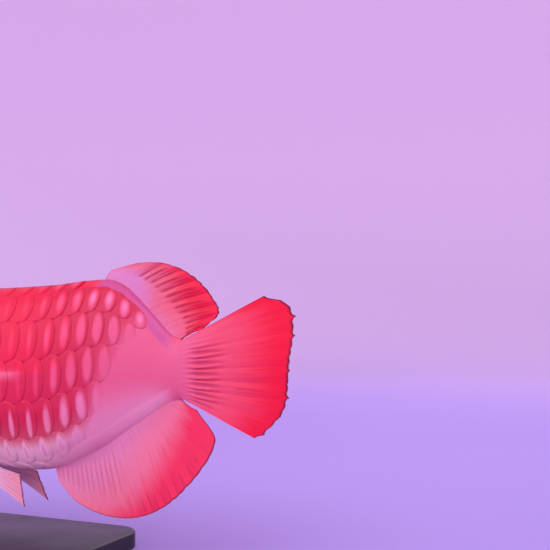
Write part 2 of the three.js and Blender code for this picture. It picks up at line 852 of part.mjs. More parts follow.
finish("stand_base", geometryFrom(solid(standBase())), STAND_BLACK);
[
  ["stand_rod_front", RODS.front],
  ["stand_rod_rear", RODS.rear],
].forEach(([name, along]) => {
  const low = BASE.thickness + GAP - AXIS_HEIGHT;
  const high = bottomAt(along) + RODS.intoBelly;
  const profile = [
    [0, low],
    [FOOT.radius, low],
    [FOOT.radius, low + FOOT.rim],
    [FOOT.collar, low + FOOT.collarAt],
    [RODS.radius, low + FOOT.top],
    [RODS.radius, high],
    [0, high],
  ].map((p) => new THREE.Vector2(...p));
  const rod = new THREE.LatheGeometry(profile, RODS.facets)
    .rotateX(Math.PI / 2)
    .translate(along, 0, 0);
  addFlesh(name, solid(rod).subtract(bodyWithGap), ROD_STEEL);
});

export default fish;
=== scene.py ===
import math
import random

import bpy
import numpy as np
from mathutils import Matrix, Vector


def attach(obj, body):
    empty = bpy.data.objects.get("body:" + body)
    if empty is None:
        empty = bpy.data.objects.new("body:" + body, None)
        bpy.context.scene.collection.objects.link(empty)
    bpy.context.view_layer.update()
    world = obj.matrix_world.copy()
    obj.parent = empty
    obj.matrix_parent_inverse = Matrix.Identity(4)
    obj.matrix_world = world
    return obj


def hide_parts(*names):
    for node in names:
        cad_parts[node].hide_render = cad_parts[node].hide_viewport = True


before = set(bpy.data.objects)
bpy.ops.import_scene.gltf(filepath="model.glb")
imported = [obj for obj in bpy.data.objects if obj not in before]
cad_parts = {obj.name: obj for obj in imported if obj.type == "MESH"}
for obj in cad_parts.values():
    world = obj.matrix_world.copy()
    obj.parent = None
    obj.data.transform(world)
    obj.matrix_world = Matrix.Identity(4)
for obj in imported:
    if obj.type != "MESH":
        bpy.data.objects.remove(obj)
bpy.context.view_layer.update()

MM = 0.001
STANDARD_LENGTH = 500.0

# Body outline as stations down the fish: distance, top, bottom and half width
STATIONS = (
    (0, 12, 8, 4.5),
    (4, 17, 2, 8.5),
    (20, 24.5, -13.5, 14.5),
    (45, 31.5, -33.5, 19),
    (80, 41.5, -56.5, 25),
    (125, 53.5, -75.5, 29.5),
    (200, 62.5, -89.5, 33),
    (291, 65, -93.5, 33),
    (350, 67.5, -91.5, 29),
    (408, 72, -68.5, 21.5),
    (432, 66, -55, 17.5),
    (464, 43.5, -37.8, 11.8),
    (484, 27.5, -27.5, 8.6),
    (STANDARD_LENGTH, 22.5, -22.5, 6.8),
)
WIDEST_LEVEL = 0.511
SIDES = (("left", -1), ("right", 1))

# The swimming line: start, end and angle of each turn
TURNS = ((300.0, 470.0, math.radians(-15)), (470.0, 600.0, math.radians(11)))
OVER_STAND = 255.0
AXIS_HEIGHT = 164.0

# Scales
ROWS = 7
COLUMNS = 22
FIRST_COLUMN = 118.0
COLUMN_SPACING = 20.8
COLUMN_NARROWING = 0.00567
BULGE = 0.75


def ease(t):
    t = np.clip(t, 0, 1)
    return t * t * (3 - 2 * t)


def mix(a, b, t):
    return a + (b - a) * t


def through(xs, values):
    """A smooth function through the given points, the same one that shapes the solids."""
    xs, values = np.asarray(xs, float), np.asarray(values, float)
    before = np.maximum(np.arange(len(xs)) - 1, 0)
    after = np.minimum(np.arange(len(xs)) + 1, len(xs) - 1)
    slopes = (values[after] - values[before]) / (xs[after] - xs[before])

    def at(x):
        x = np.asarray(x, float)
        i = np.clip(np.searchsorted(xs, x, side="right") - 1, 0, len(xs) - 2)
        span = xs[i + 1] - xs[i]
        t = np.clip((x - xs[i]) / span, 0, 1)
        rise = t * t * (3 - 2 * t)
        lead = t * (1 - t) ** 2 * span * slopes[i]
        trail = t * t * (1 - t) * span * slopes[i + 1]
        return values[i] + (values[i + 1] - values[i]) * rise + lead - trail

    return at


distances, *outlines = zip(*STATIONS)
top_at, bottom_at, half_width_at = (through(distances, values) for values in outlines)


def fullness_at(s, angle):
    back = mix(0.68, 0.8, ease((s - 80) / 60))
    belly = mix(0.95, 1.12, ease((s - 80) / 100))
    return mix(back, belly, (1 - np.cos(angle)) / 2)


def section(s, angle):
    """Side and up of the body's surface at an angle from the back, 0, to the belly, pi."""
    middle = mix(top_at(s), bottom_at(s), WIDEST_LEVEL)
    reach = np.where(np.cos(angle) > 0, top_at(s) - middle, middle - bottom_at(s))
    sine = np.maximum(np.sin(angle), 0)
    return half_width_at(s) * sine ** fullness_at(s, angle), middle + reach * np.cos(angle)


def surface(s, angle, side, out=0.0):
    """Points (along, side, up) of the surface, moved outward by out."""
    s, angle, out = np.broadcast_arrays(*(np.asarray(v, float) for v in (s, angle, out)))
    y, z = section(s, angle)
    step = 0.02
    y0, z0 = section(s, np.maximum(angle - step, 0))
    y1, z1 = section(s, np.minimum(angle + step, math.pi))
    ny, nz = z0 - z1, y1 - y0
    ridge = (angle < step) | (angle > math.pi - step)
    ny = np.where(ridge, 0, ny)
    nz = np.where(ridge, np.cos(angle), nz)
    size = np.hypot(ny, nz)
    return np.stack([s, side * (y + ny / size * out), z + nz / size * out], -1)


def angle_at_level(s, level):
    middle = mix(top_at(s), bottom_at(s), WIDEST_LEVEL)
    reach = np.where(level > middle, top_at(s) - middle, middle - bottom_at(s))
    return np.arccos(np.clip((level - middle) / reach, -1, 1))


# The swimming line as a table of places, half a millimetre apart
LINE_S = np.arange(-80, 700, 0.5)


def heading(s):
    return sum(angle * ease((s - start) / (end - start)) for start, end, angle in TURNS)


turned = heading((LINE_S[1:] + LINE_S[:-1]) / 2)
LINE_X = np.concatenate([[0], np.cumsum(np.cos(turned) * 0.5)]) + LINE_S[0]
LINE_Y = np.concatenate([[0], np.cumsum(np.sin(turned) * 0.5)])


def bend(points):
    """From straight millimetres to metres over the stand."""
    points = np.asarray(points, float)
    s, y, z = points[..., 0], points[..., 1], points[..., 2]
    turn = heading(s)
    x = np.interp(s, LINE_S, LINE_X) - np.sin(turn) * y - OVER_STAND
    across = np.interp(s, LINE_S, LINE_Y) + np.cos(turn) * y
    return np.stack([x, across, z + AXIS_HEIGHT], -1) * MM


# Camera, at the place worked out from the photo's outline of the tail and fins
CAMERA_AZIMUTH = math.radians(24)
HORIZON_PIXEL = 300.0
FRAME_PIXELS = 550.0
FOCAL_PIXELS = 1000.0
SENSOR_MM = 36.0
CAMERA_PLACE = Vector((0.6225, -0.71571, 0.21819))


def add_object(name, data):
    made = bpy.data.objects.new(name, data)
    bpy.context.scene.collection.objects.link(made)
    return made


def add_camera():
    data = bpy.data.cameras.new("camera")
    data.sensor_width = SENSOR_MM
    data.lens = SENSOR_MM * FOCAL_PIXELS / FRAME_PIXELS
    data.clip_start, data.clip_end = 0.05, 50
    camera = add_object("camera", data)
    pitch = math.atan((HORIZON_PIXEL - FRAME_PIXELS / 2) / FOCAL_PIXELS)
    camera.location = CAMERA_PLACE
    camera.rotation_euler = (math.pi / 2 + pitch, 0, CAMERA_AZIMUTH)
    bpy.context.scene.camera = camera


def add_light(name, place, size, power, color):
    data = bpy.data.lights.new(name, "AREA")
    data.shape = "DISK"
    data.size = size
    data.energy = power
    data.color = color
    light = add_object(name, data)
    light.location = place
    direction = Vector(LIGHT_AIM) - Vector(place)
    light.rotation_euler = direction.to_track_quat("-Z", "Y").to_euler()


SKY = (0.88, 0.83, 0.98, 1)
SKY_STRENGTH = 0.66
FLOOR_RADIUS, SWEEP_RADIUS, BACKDROP_HEIGHT = 2.4, 1.2, 2.2
FLOOR_SIDES = 96
LIGHT_AIM = (0, 0, 0.15)
# Each light's place, size, power and colour
LIGHTS = {
    "key": ((0.5, -1.6, 1.9), 1.8, 25, (1, 0.95, 0.94)),
    "low": ((0.5, -1.5, 0.12), 0.9, 5, (1, 0.97, 0.98)),
    "fill": ((-1.7, -1.4, 0.9), 1.5, 11, (1, 0.95, 0.96)),
    "back": ((0.2, 1.7, 1.7), 1.5, 14, (1, 0.95, 0.96)),
}


def add_studio():
    """A pale round floor that turns up into a backdrop, with a pale sky and soft lights."""
    world = bpy.data.worlds.new("studio")
    bpy.context.scene.world = world
    world.use_nodes = True
    background = world.node_tree.nodes["Background"]
    background.inputs["Color"].default_value = SKY
    background.inputs["Strength"].default_value = SKY_STRENGTH
    profile = [(r, 0.0) for r in np.linspace(0.05, FLOOR_RADIUS, 8)]
    for a in np.linspace(0, math.pi / 2, 16)[1:]:
        profile.append((FLOOR_RADIUS + SWEEP_RADIUS * math.sin(a), SWEEP_RADIUS * (1 - math.cos(a))))
    profile.append((FLOOR_RADIUS + SWEEP_RADIUS, BACKDROP_HEIGHT))
    turn = 2 * math.pi * np.arange(FLOOR_SIDES) / FLOOR_SIDES
    points = [(r * math.cos(a), r * math.sin(a), z) for r, z in profile for a in turn]
    faces = grid_faces(len(profile), FLOOR_SIDES, True).tolist()
    faces.append(list(range(FLOOR_SIDES)))
    floor = mesh_object("floor", points, faces, floor_material())
    for name, light in LIGHTS.items():
        add_light(name, *light)


class Paint:
    """A small helper that grows one node material."""

    def __init__(self, name, roughness=0.4, **sockets):
        self.material = bpy.data.materials.new(name)
        self.material.use_nodes = True
        self.tree = self.material.node_tree
        self.shader = self.tree.nodes["Principled BSDF"]
        self.shader.inputs["Roughness"].default_value = roughness
        for socket, value in sockets.items():
            self.shader.inputs[socket.replace("_", " ")].default_value = value

    def link(self, value, socket):
        if isinstance(value, bpy.types.NodeSocket):
            self.tree.links.new(value, socket)
        else:
            socket.default_value = value

    def node(self, kind, inputs=(), output=0, **settings):
        node = self.tree.nodes.new(kind)
        for key, value in settings.items():
            setattr(node, key, value)
        for socket, value in dict(inputs).items():
            self.link(value, node.inputs[socket])
        return node.outputs[output]

    def attribute(self, name, part=None):
        vector = self.node("ShaderNodeAttribute", attribute_name=name, output=1)
        if part is None:
            return vector
        return self.node("ShaderNodeSeparateXYZ", {0: vector}, output="XYZ".index(part))

    def place(self):
        return self.node("ShaderNodeTexCoord", output=3)

    def math(self, operation, a, b=0.0, c=0.0):
        return self.node("ShaderNodeMath", {0: a, 1: b, 2: c}, operation=operation)

    def times(self, a, b):
        return self.math("MULTIPLY", a, b)

    def scaled(self, value, factor, offset):
        return self.math("MULTIPLY_ADD", value, factor, offset)

    def band(self, value, low, high, to_low=0.0, to_high=1.0):
        """A smooth step of value from low to high."""
        inputs = {0: value, 1: low, 2: high, 3: to_low, 4: to_high}
        return self.node("ShaderNodeMapRange", inputs, interpolation_type="SMOOTHSTEP")

    def noise(self, scale, detail=3.0, vector=None, distortion=0.0):
        inputs = {"Scale": scale, "Detail": detail, "Distortion": distortion}
        inputs["Vector"] = self.place() if vector is None else vector
        return self.node("ShaderNodeTexNoise", inputs)

    def stretch(self, vector, scale):
        return self.node("ShaderNodeVectorMath", {0: vector, 1: scale}, operation="MULTIPLY")

    def blend(self, share, a, b, kind="MIX"):
        node = self.tree.nodes.new("ShaderNodeMix")
        node.data_type = "RGBA"
        node.blend_type = kind
        for socket, value in zip((node.inputs[0], node.inputs[6], node.inputs[7]), (share, a, b)):
            self.link(value, socket)
        return node.outputs[2]

    def finish(self, colour, roughness=None, height=None, distance=0.0004, strength=0.6):
        self.link(colour, self.shader.inputs["Base Color"])
        if roughness is not None:
            self.link(roughness, self.shader.inputs["Roughness"])
        if height is not None:
            inputs = {"Height": height, "Distance": distance, "Strength": strength}
            self.link(self.node("ShaderNodeBump", inputs), self.shader.inputs["Normal"])
        return self.material


def rgb(red, green, blue):
    """A colour given as it looks on screen, 0 to 255."""
    share = [v / 255 for v in (red, green, blue)]
    return tuple(((v + 0.055) / 1.055) ** 2.4 if v > 0.04 else v / 12.92 for v in share) + (1.0,)


# Colours of the fish, tuned to the photo
CRIMSON = rgb(222, 34, 74)
NET_RED = rgb(204, 24, 66)
DARK_CRIMSON = rgb(150, 14, 44)
MARGIN_RED = rgb(124, 12, 50)
VIVID_RED = rgb(242, 22, 66)
CORE_PINK = rgb(236, 86, 126)
# the next is a painted highlight, the pale sheen along the lateral line
LATERAL_SHEEN_PINK = rgb(250, 124, 158)
WASHED_PINK = rgb(226, 94, 128)
# LILAC_PINK, GREY_PINK and MAUVE are partly painted light: the underside's pale colours, made paler to
# offset its shade
LILAC_PINK = rgb(254, 206, 216)
GREY_PINK = rgb(236, 140, 174)
MAUVE = rgb(230, 142, 170)
PURPLE = rgb(198, 84, 146)
PEARL = rgb(252, 136, 178)
SALMON = rgb(235, 110, 110)
# partly painted light: the lower fold's pale colour, made paler to offset the underside's shade
FOLD_PINK = rgb(242, 160, 178)
DARK_BACK = rgb(176, 22, 54)

# Where the pattern and the relief of the scales fade towards the tail, earlier low down than high up
FADE_END, FADE_SLOPE, FADE_RUN = 502.0, 36.0, 30.0


def scales_show(s, angle):
    """1 where the scales stand out, 0 where the skin covers them."""
    return ease((FADE_END - FADE_SLOPE * angle - s) / FADE_RUN)


def body_tone(paint):
    """The colour of the flank by distance along and by height, shared by the skin and the scales."""
    along = paint.attribute("place", "X")
    around = paint.attribute("place", "Y")
    patch = paint.scaled(paint.noise(14, 3), 0.08, -0.04)
    upper = paint.blend(paint.band(around, 0.01, 0.1), DARK_BACK, VIVID_RED)
    # the nape's scales take their colour from the head's skin
    upper = paint.blend(paint.band(along, 0.19, 0.36), CRIMSON, upper)
    front = paint.blend(paint.band(around, 0.466, 0.48), upper, CRIMSON)
    # the pale belly, partly painted light: its colour made paler to offset the underside's shade
    front = paint.blend(paint.band(around, 0.62, 0.78), front, LILAC_PINK)
    low = paint.times(paint.band(around, 0.56, 0.8), paint.band(along, 0.93, 0.99, 1.0, 0.0))
    rear = paint.blend(paint.band(around, 0.0, 0.1), CRIMSON, WASHED_PINK)
    # the mauve rear lower flank, partly painted light: its colour made paler to offset the underside's
    # shade
    rear = paint.blend(low, rear, MAUVE)
    shifted = paint.scaled(around, 0.16, along)
    shifted = paint.math("ADD", shifted, patch)
    return paint.blend(paint.band(shifted, 0.78, 0.95), front, rear)


def body_pattern(paint):
    """How strongly the pale cores and the dark net between them show, by place."""
    along = paint.attribute("place", "X")
    around = paint.attribute("place", "Y")
    drift = paint.scaled(paint.noise(22, 3), 0.06, -0.03)
    s = paint.math("ADD", along, drift)
    slope = FADE_SLOPE * math.pi / STANDARD_LENGTH
    faded = paint.scaled(around, slope, s)
    end = FADE_END / STANDARD_LENGTH
    fade = paint.band(faded, end - FADE_RUN / STANDARD_LENGTH - 0.02, end, 1.0, 0.0)
    front = paint.band(s, 0.66, 0.76, 0.28, 1.0)
    lower = paint.band(around, 0.57, 0.62)
    core = paint.times(paint.math("MAXIMUM", front, lower), fade)
    belly = paint.band(around, 0.7, 0.78, 1.0, 0.25)
    framed = paint.math("MAXIMUM", paint.band(s, 0.66, 0.78, 0.4, 1.0), lower)
    net = paint.times(paint.times(fade, belly), framed)
    return core, net


def scale_material():
    paint = Paint("scale_lacquer", 0.38, Coat_Weight=0.08, Coat_Roughness=0.2, Specular_IOR_Level=0.24)
    tone = body_tone(paint)
    around = paint.attribute("place", "Y")
    run = paint.attribute("local", "X")
    across = paint.attribute("local", "Y")
    chance = paint.attribute("local", "Z")
    grain = paint.noise(260, 2)
    core_share, net_share = body_pattern(paint)
    # the pale core: an upright oval in the middle of what shows of the scale
    x = paint.scaled(run, 3.3, -1.0)
    x = paint.times(x, paint.band(paint.attribute("place", "X"), 0.66, 0.78, 1.9, 1.0))
    y = paint.times(across, 1.25)
    wobble = paint.scaled(paint.noise(70, 2), 0.5, -0.25)
    square = paint.math("ADD", paint.times(x, x), paint.times(y, y))
    far = paint.math("ADD", paint.math("SQRT", square), wobble)
    core = paint.times(paint.band(far, 0.25, 1.0, 1.0, 0.0), core_share)
    core = paint.times(core, paint.scaled(chance, 0.15, 0.85))
    # grey pink cores low down, partly painted light: their colour made paler to offset the underside's
    # shade
    pale = paint.blend(paint.band(around, 0.5, 0.62), CORE_PINK, GREY_PINK)
    rim = paint.times(paint.band(far, 0.7, 1.15), net_share)
    colour = paint.blend(paint.times(rim, 0.85), tone, NET_RED)
    colour = paint.blend(core, colour, pale)
    # painted highlight: a pale sheen along the lateral line
    lateral_sheen = paint.attribute("streak", "X")
    colour = paint.blend(paint.times(lateral_sheen, 0.75), colour, LATERAL_SHEEN_PINK)
    pearl = paint.times(paint.attribute("streak", "Y"), paint.band(far, 0.1, 0.8, 1.0, 0.0))
    colour = paint.blend(paint.times(pearl, 0.85), colour, PEARL)
    colour = paint.blend(paint.band(grain, 0.35, 0.7, 0.0, 0.05), colour, CORE_PINK)
    rings = paint.math("SINE", paint.times(far, 60.0))
    height = paint.scaled(rings, 0.2, grain)
    rough = paint.band(grain, 0.3, 0.7, 0.34, 0.46)
    return paint.finish(colour, rough, height, 0.0002, 0.3)


def skin_material():
    paint = Paint("skin", 0.38, Coat_Weight=0.09, Coat_Roughness=0.2, Specular_IOR_Level=0.26)
    tone = body_tone(paint)
    along = paint.attribute("place", "X")
    around = paint.attribute("place", "Y")
    grain = paint.noise(420, 3)
    mottle = paint.noise(38, 4)
    head = paint.blend(paint.band(around, 0.16, 0.36), DARK_BACK, CRIMSON)
    head = paint.blend(paint.band(around, 0.66, 0.92), head, SALMON)
    head = paint.blend(paint.band(mottle, 0.4, 0.75, 0.0, 0.45), head, DARK_CRIMSON)
    plate = paint.attribute("form", "X")
    line = paint.attribute("form", "Y")
    gold = paint.blend(paint.band(mottle, 0.3, 0.7), rgb(226, 44, 70), rgb(238, 104, 104))
    head = paint.blend(paint.times(plate, 0.85), head, gold)
    colour = paint.blend(paint.band(along, 0.2, 0.26), head, tone)
    sheath = paint.attribute("form", "Z")
    # the fold's pink on the lower side is partly painted light, made paler to offset the underside's shade
    fold = paint.blend(paint.band(around, 0.4, 0.6), PURPLE, FOLD_PINK)
    fold = paint.blend(paint.band(mottle, 0.45, 0.7, 0.0, 0.2), fold, CRIMSON)
    shown = paint.times(sheath, paint.band(around, 0.4, 0.6, 0.85, 0.5))
    colour = paint.blend(shown, colour, fold)
    # painted shade in the head's grooves and nostrils
    colour = paint.blend(line, colour, rgb(92, 12, 30))
    veins = paint.noise(1.0, 2, paint.stretch(paint.attribute("place"), (900, 60, 60)))
    height = paint.scaled(veins, 0.5, grain)
    rough = paint.band(mottle, 0.3, 0.7, 0.32, 0.44)
    return paint.finish(colour, rough, height, 0.0002, 0.4)


def fin_material(name, colours, gap, gap_share, gap_runs, spread):
    """A fin's look, with the colours of its base, middle and edge.

    ray is (place along a ray, how deep between two ribs, share of the base). gap is the colour painted
    between the ribs as shade, darkest where the skin sinks deepest, strongest at gap_share, which rises
    and falls over the four places of gap_runs."""
    paint = Paint(name, 0.42, Coat_Weight=0.04, Coat_Roughness=0.22, Specular_IOR_Level=0.18)
    base, middle, edge = colours
    along = paint.attribute("ray", "X")
    off = paint.attribute("ray", "Y")
    share = paint.attribute("ray", "Z")
    to_edge = paint.attribute("comb", "Z")
    comb = paint.attribute("comb")
    streak = paint.noise(1.0, 3, paint.stretch(comb, (60, 3, 0)))
    place = paint.math("ADD", along, paint.scaled(streak, 0.24, -0.12))
    # the colours lie further out on the front rays, up to the share until; behind it, further in by ahead
    shift, until, ahead = spread
    later = paint.scaled(paint.math("MINIMUM", share, until), shift, ahead - shift * until)
    place = paint.math("ADD", place, later)
    colour = paint.blend(paint.band(place, 0.05, 0.5), base, middle)
    colour = paint.blend(paint.band(place, 0.45, 0.95), colour, edge)
    begun = paint.band(along, *gap_runs[:2])
    not_over = paint.band(along, *gap_runs[2:], 1.0, 0.0)
    shown = paint.times(begun, not_over)
    # painted shade in the sunk skin between the rays, darkest where it sinks most
    pleat_shade = paint.times(paint.band(off, 0.3, 0.95), shown)
    fine = paint.noise(1.0, 2, paint.stretch(comb, (25, 5, 0)))
    pleat_shade = paint.times(pleat_shade, paint.band(fine, 0.3, 0.6, 0.75 * gap_share, gap_share))
    colour = paint.blend(pleat_shade, colour, gap)
    colour = paint.blend(paint.band(streak, 0.55, 0.8, 0.0, 0.18), colour, DARK_CRIMSON)
    joint = paint.math("SINE", paint.times(along, 180.0))
    joint = paint.times(paint.band(joint, 0.6, 1.0), paint.band(off, 0.1, 0.4, 1.0, 0.0))
    margin = paint.times(paint.band(to_edge, 0.975, 0.998), 0.85)
    colour = paint.blend(margin, colour, MARGIN_RED)
    height = paint.scaled(joint, 0.15, paint.noise(500, 2))
    rough = paint.band(streak, 0.3, 0.7, 0.36, 0.5)
    return paint.finish(colour, rough, height, 0.0002, 0.35)


def eye_material():
    paint = Paint("eye", 0.08, Coat_Weight=1.0, Coat_Roughness=0.02)
    off = paint.attribute("iris", "X")
    spokes = paint.noise(1.0, 3, paint.stretch(paint.attribute("iris"), (3, 16, 16)))
    golden = paint.blend(paint.band(spokes, 0.3, 0.7), rgb(214, 120, 60), rgb(180, 40, 34))
    colour = paint.blend(paint.band(off, 0.44, 0.48), rgb(8, 6, 8), golden)
    colour = paint.blend(paint.band(off, 0.74, 0.86), colour, rgb(70, 16, 22))
    return paint.finish(colour)


def lip_material():
    paint = Paint("barbel_skin", 0.42, Coat_Weight=0.2)
    mottle = paint.noise(160, 3)
    colour = paint.blend(paint.band(mottle, 0.35, 0.7), rgb(190, 48, 66), rgb(226, 110, 118))
    return paint.finish(colour, None, paint.noise(900, 2), 0.0002, 0.4)


def floor_material():
    paint = Paint("floor_paint", 0.7, Specular_IOR_Level=0.2)
    # painted light: darker near the middle and paler far out and up the backdrop, which the lamps light
    # less
    away = paint.node("ShaderNodeVectorMath", {0: paint.place()}, output=1, operation="LENGTH")
    mottle = paint.blend(paint.noise(1.5, 3), rgb(176, 148, 228), rgb(186, 158, 236))
    colour = paint.blend(paint.band(away, 0.8, 3.8), mottle, rgb(250, 220, 254))
    return paint.finish(colour, None, paint.noise(60, 3), 0.0005, 0.2)


def stand_material():
    paint = Paint("stand_satin", 0.38)
    speck = paint.noise(900, 2)
    smear = paint.noise(9, 4)
    colour = paint.blend(paint.band(speck, 0.4, 0.7), rgb(20, 20, 23), rgb(34, 34, 38))
    rough = paint.band(smear, 0.3, 0.7, 0.32, 0.46)
    return paint.finish(colour, rough, speck, 0.0001, 0.4)


def rod_material():
    paint = Paint("rod_steel", 0.28, Metallic=1.0)
    brush = paint.noise(1.0, 3, paint.stretch(paint.place(), (300, 300, 6000)))
    colour = paint.blend(brush, rgb(168, 172, 178), rgb(206, 208, 212))
    rough = paint.band(brush, 0.3, 0.7, 0.2, 0.38)
    return paint.finish(colour, rough, brush, 0.0001, 0.3)


def mesh_object(name, points, faces, material, attributes=()):
    """A smooth mesh with one material, from points in any grid of (x, y, z)."""
    mesh = bpy.data.meshes.new(name)
    mesh.from_pydata(np.reshape(points, (-1, 3)).tolist(), [], faces)
    for key, values in dict(attributes).items():
        layer = mesh.attributes.new(key, "FLOAT_VECTOR", "POINT")
        layer.data.foreach_set("vector", np.asarray(values, np.float32).ravel())
    mesh.update()
    mesh.polygons.foreach_set("use_smooth", [True] * len(mesh.polygons))
    mesh.materials.append(material)
    return add_object(name, mesh)


def mesh_piece(name, points, faces, material, replaced=(), attributes=()):
    """A new piece that rides on the one body."""
    piece = mesh_object(name, points, faces, material, attributes)
    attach(piece, "root")
    if replaced:
        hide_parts(*replaced)
    return piece


def grid_faces(rows, columns, closed=False):
    """Quads of a grid of rows x columns points, joined round when closed."""
    r = np.arange(rows - 1)[:, None]
    c = np.arange(columns if closed else columns - 1)[None, :]
    after = (c + 1) % columns
    quads = [r * columns + c, r * columns + after, (r + 1) * columns + after, (r + 1) * columns + c]
    return np.stack(np.broadcast_arrays(*quads), -1).reshape(-1, 4)


def grid_edge(rows, columns):
    """Points round the edge of a grid, and the next point after each."""
    index = np.arange(rows * columns).reshape(rows, columns)
    edge = np.concatenate([index[0], index[1:, -1], index[-1, -2::-1], index[-2:0:-1, 0]])
    return edge, np.roll(edge, -1)


def tube_faces(rings, sides):
    """Faces of a closed tube of rings of points, with a cap on each end."""
    last = (rings - 1) * sides
    caps = [list(range(sides))[::-1], list(range(last, last + sides))]
    return grid_faces(rings, sides, True).tolist() + caps


# Forms of the head, as outlines of (along, up) seen from the side
def curve_points(outline, steps=8):
    """[x, z] corners, where (cx, cz, x, z) is a curve by way of a control point."""
    points = [np.array(outline[0], float)]
    for part in outline[1:]:
        end = np.array(part[-2:], float)
        if len(part) == 2:
            points.append(end)
            continue
        start, control = points[-1], np.array(part[:2], float)
        for t in np.arange(1, steps + 1) / steps:
            points.append((1 - t) ** 2 * start + 2 * t * (1 - t) * control + t * t * end)
    return np.array(points)


GILL_COVER = [
    (84, 24),
    (100, 31, 110, 24.5),
    (129, -4, 119.2, -30),
    (112, -50, 99, -60),
    (90, -58, 84, -47),
    (78, -14, 84, 24),
]
CHEEK = [
    (61, 20),
    (70, 25, 82, 23),
    (76.5, -14, 81.5, -44),
    (73, -40, 68, -28),
    (60, -16, 60, -4),
    (64, 8, 61, 20),
]
CHEEK_SEAM = [(60, -3), (70, -6, 79, -7)]
UPPER_JAW = [
    (9, 12),
    (34, -2, 57, -23.5),
    (65, -31, 66.5, -25),
    (67, -18, 58, -13),
    (38, 4, 15, 15.5),
    (11, 16, 9, 12),
]
MOUTH = [(-2, 14.6), (4, 11), (30, -4, 57, -26), (64, -33, 71, -47)]
HEAD_REACH = 140.0  # no form of the head lies behind this
EYE_CENTRE, EYE_RADIUS = (43.0, 8.5), 11.5
EYE_DEPTH, EYE_STANDS_OUT = 8.0, 3.0
NOSTRILS = ((13.0, 18.5, 1.3), (24.0, 21.5, 1.6))


def distance_to(points, path, closed):
    """Distance of (along, up) points from a path, negative inside a closed one."""
    a = path if closed else path[:-1]
    b = np.roll(path, -1, 0) if closed else path[1:]
    best = np.full(len(points), 1e9)
    inside = np.zeros(len(points), bool)
    for p, q in zip(a, b):
        d = q - p
        length = max(d @ d, 1e-12)
        t = np.clip(((points - p) @ d) / length, 0, 1)
        best = np.minimum(best, np.hypot(*(points - p - t[:, None] * d).T))
        if closed and p[1] != q[1]:
            crosses = (p[1] > points[:, 1]) != (q[1] > points[:, 1])
            inside ^= crosses & (points[:, 0] < p[0] + (points[:, 1] - p[1]) / (q[1] - p[1]) * d[0])
    return np.where(inside, -best, best) if closed else best


def head_forms(points):
    """Lift, plate mask and line mask of the head's skin, in millimetres, at (along, up) points; the lines
    are painted shade in its grooves and holes.
    """
    lift, plates, lines = np.zeros((3, len(points)))
    near = points[:, 0] < HEAD_REACH
    p = points[near]
    gill = distance_to(p, curve_points(GILL_COVER), True)
    cheek = distance_to(p, curve_points(CHEEK), True)
    jaw = distance_to(p, curve_points(UPPER_JAW), True)
    seam = distance_to(p, curve_points(CHEEK_SEAM), False)
    mouth = distance_to(p, curve_points(MOUTH), False)
    eye = np.hypot(p[:, 0] - EYE_CENTRE[0], p[:, 1] - EYE_CENTRE[1]) - EYE_RADIUS
    on_gill, on_cheek, on_jaw = (ease(0.5 - d / 1.4) for d in (gill, cheek, jaw))
    rise = np.maximum.reduce([1.25 * on_gill, 0.9 * on_cheek, 1.2 * on_jaw])
    rise -= 0.5 * ease(1 - seam / 1.0) * on_cheek
    rise -= 1.6 * ease(1 - mouth / 1.3) * ease((74 - p[:, 0]) / 10)
    rise += 0.5 * ease(1 - np.abs(mouth - 2.6) / 2.2) * ease((60 - p[:, 0]) / 10)
    rise += 0.7 * ease(1 - np.abs(eye - 1.2) / 2.0) - 2.6 * ease(0.5 - eye / 1.6)
    # painted shade in the grooves: along the edges of the gill cover and the cheek, in the mouth and round
    # the eye
    dark = [
        0.8 * ease(1 - np.abs(gill) / 0.9),
        0.35 * ease(1 - np.abs(cheek) / 0.6),
        0.95 * ease(1 - mouth / 0.9) * ease((74 - p[:, 0]) / 10),
        0.8 * ease(1 - np.abs(eye + 0.6) / 1.2),
    ]
    for along, up, radius in NOSTRILS:
        hole = np.hypot(p[:, 0] - along, p[:, 1] - up)
        rise += 0.9 * ease(1 - np.abs(hole - radius * 1.35) / 1.1) - 2.2 * ease(1.2 - hole / radius)
        # painted shade in the nostril's hole
        dark.append(ease(1.3 - hole / radius))
    lift[near] = rise
    plates[near] = np.maximum.reduce([on_gill, on_cheek, 0.5 * on_jaw])
    lines[near] = np.maximum.reduce(dark)
    return lift, plates, lines


SKIN_SUNK = 0.7  # under the scales
SKIN_SIDES = 280
SNOUT_RINGS = (0, 0.35, 0.9, 1.7, 2.7)
HEAD_RINGS = (4, 136, 0.8)  # from, to and step
BODY_RINGS = 110

# The fleshy folds along the roots of the back fin and the anal fin
FOLD_HEIGHT = 11.0
FOLD_LIFT = 0.28
BACK_FOLD_FROM, KEEL_FOLD_FROM, FOLDS_TO = 400.0, 346.0, 492.0
FOLD_ENDS = 14.0  # over which a fold fades at its ends


def fold_share(s, level, reach=1.15):
    """1 on the fleshy folds along the roots of the back fin and the anal fin, as far down as reach."""
    at = np.minimum(s, STANDARD_LENGTH)
    under_back = ease((reach - (top_at(at) - level) / FOLD_HEIGHT) / 0.3)
    over_keel = ease((reach - (level - bottom_at(at)) / FOLD_HEIGHT) / 0.3)
    back = under_back * ease((s - BACK_FOLD_FROM) / FOLD_ENDS)
    keel = over_keel * ease((s - KEEL_FOLD_FROM) / FOLD_ENDS)
    return np.maximum(back, keel) * ease((FOLDS_TO - s) / FOLD_ENDS)


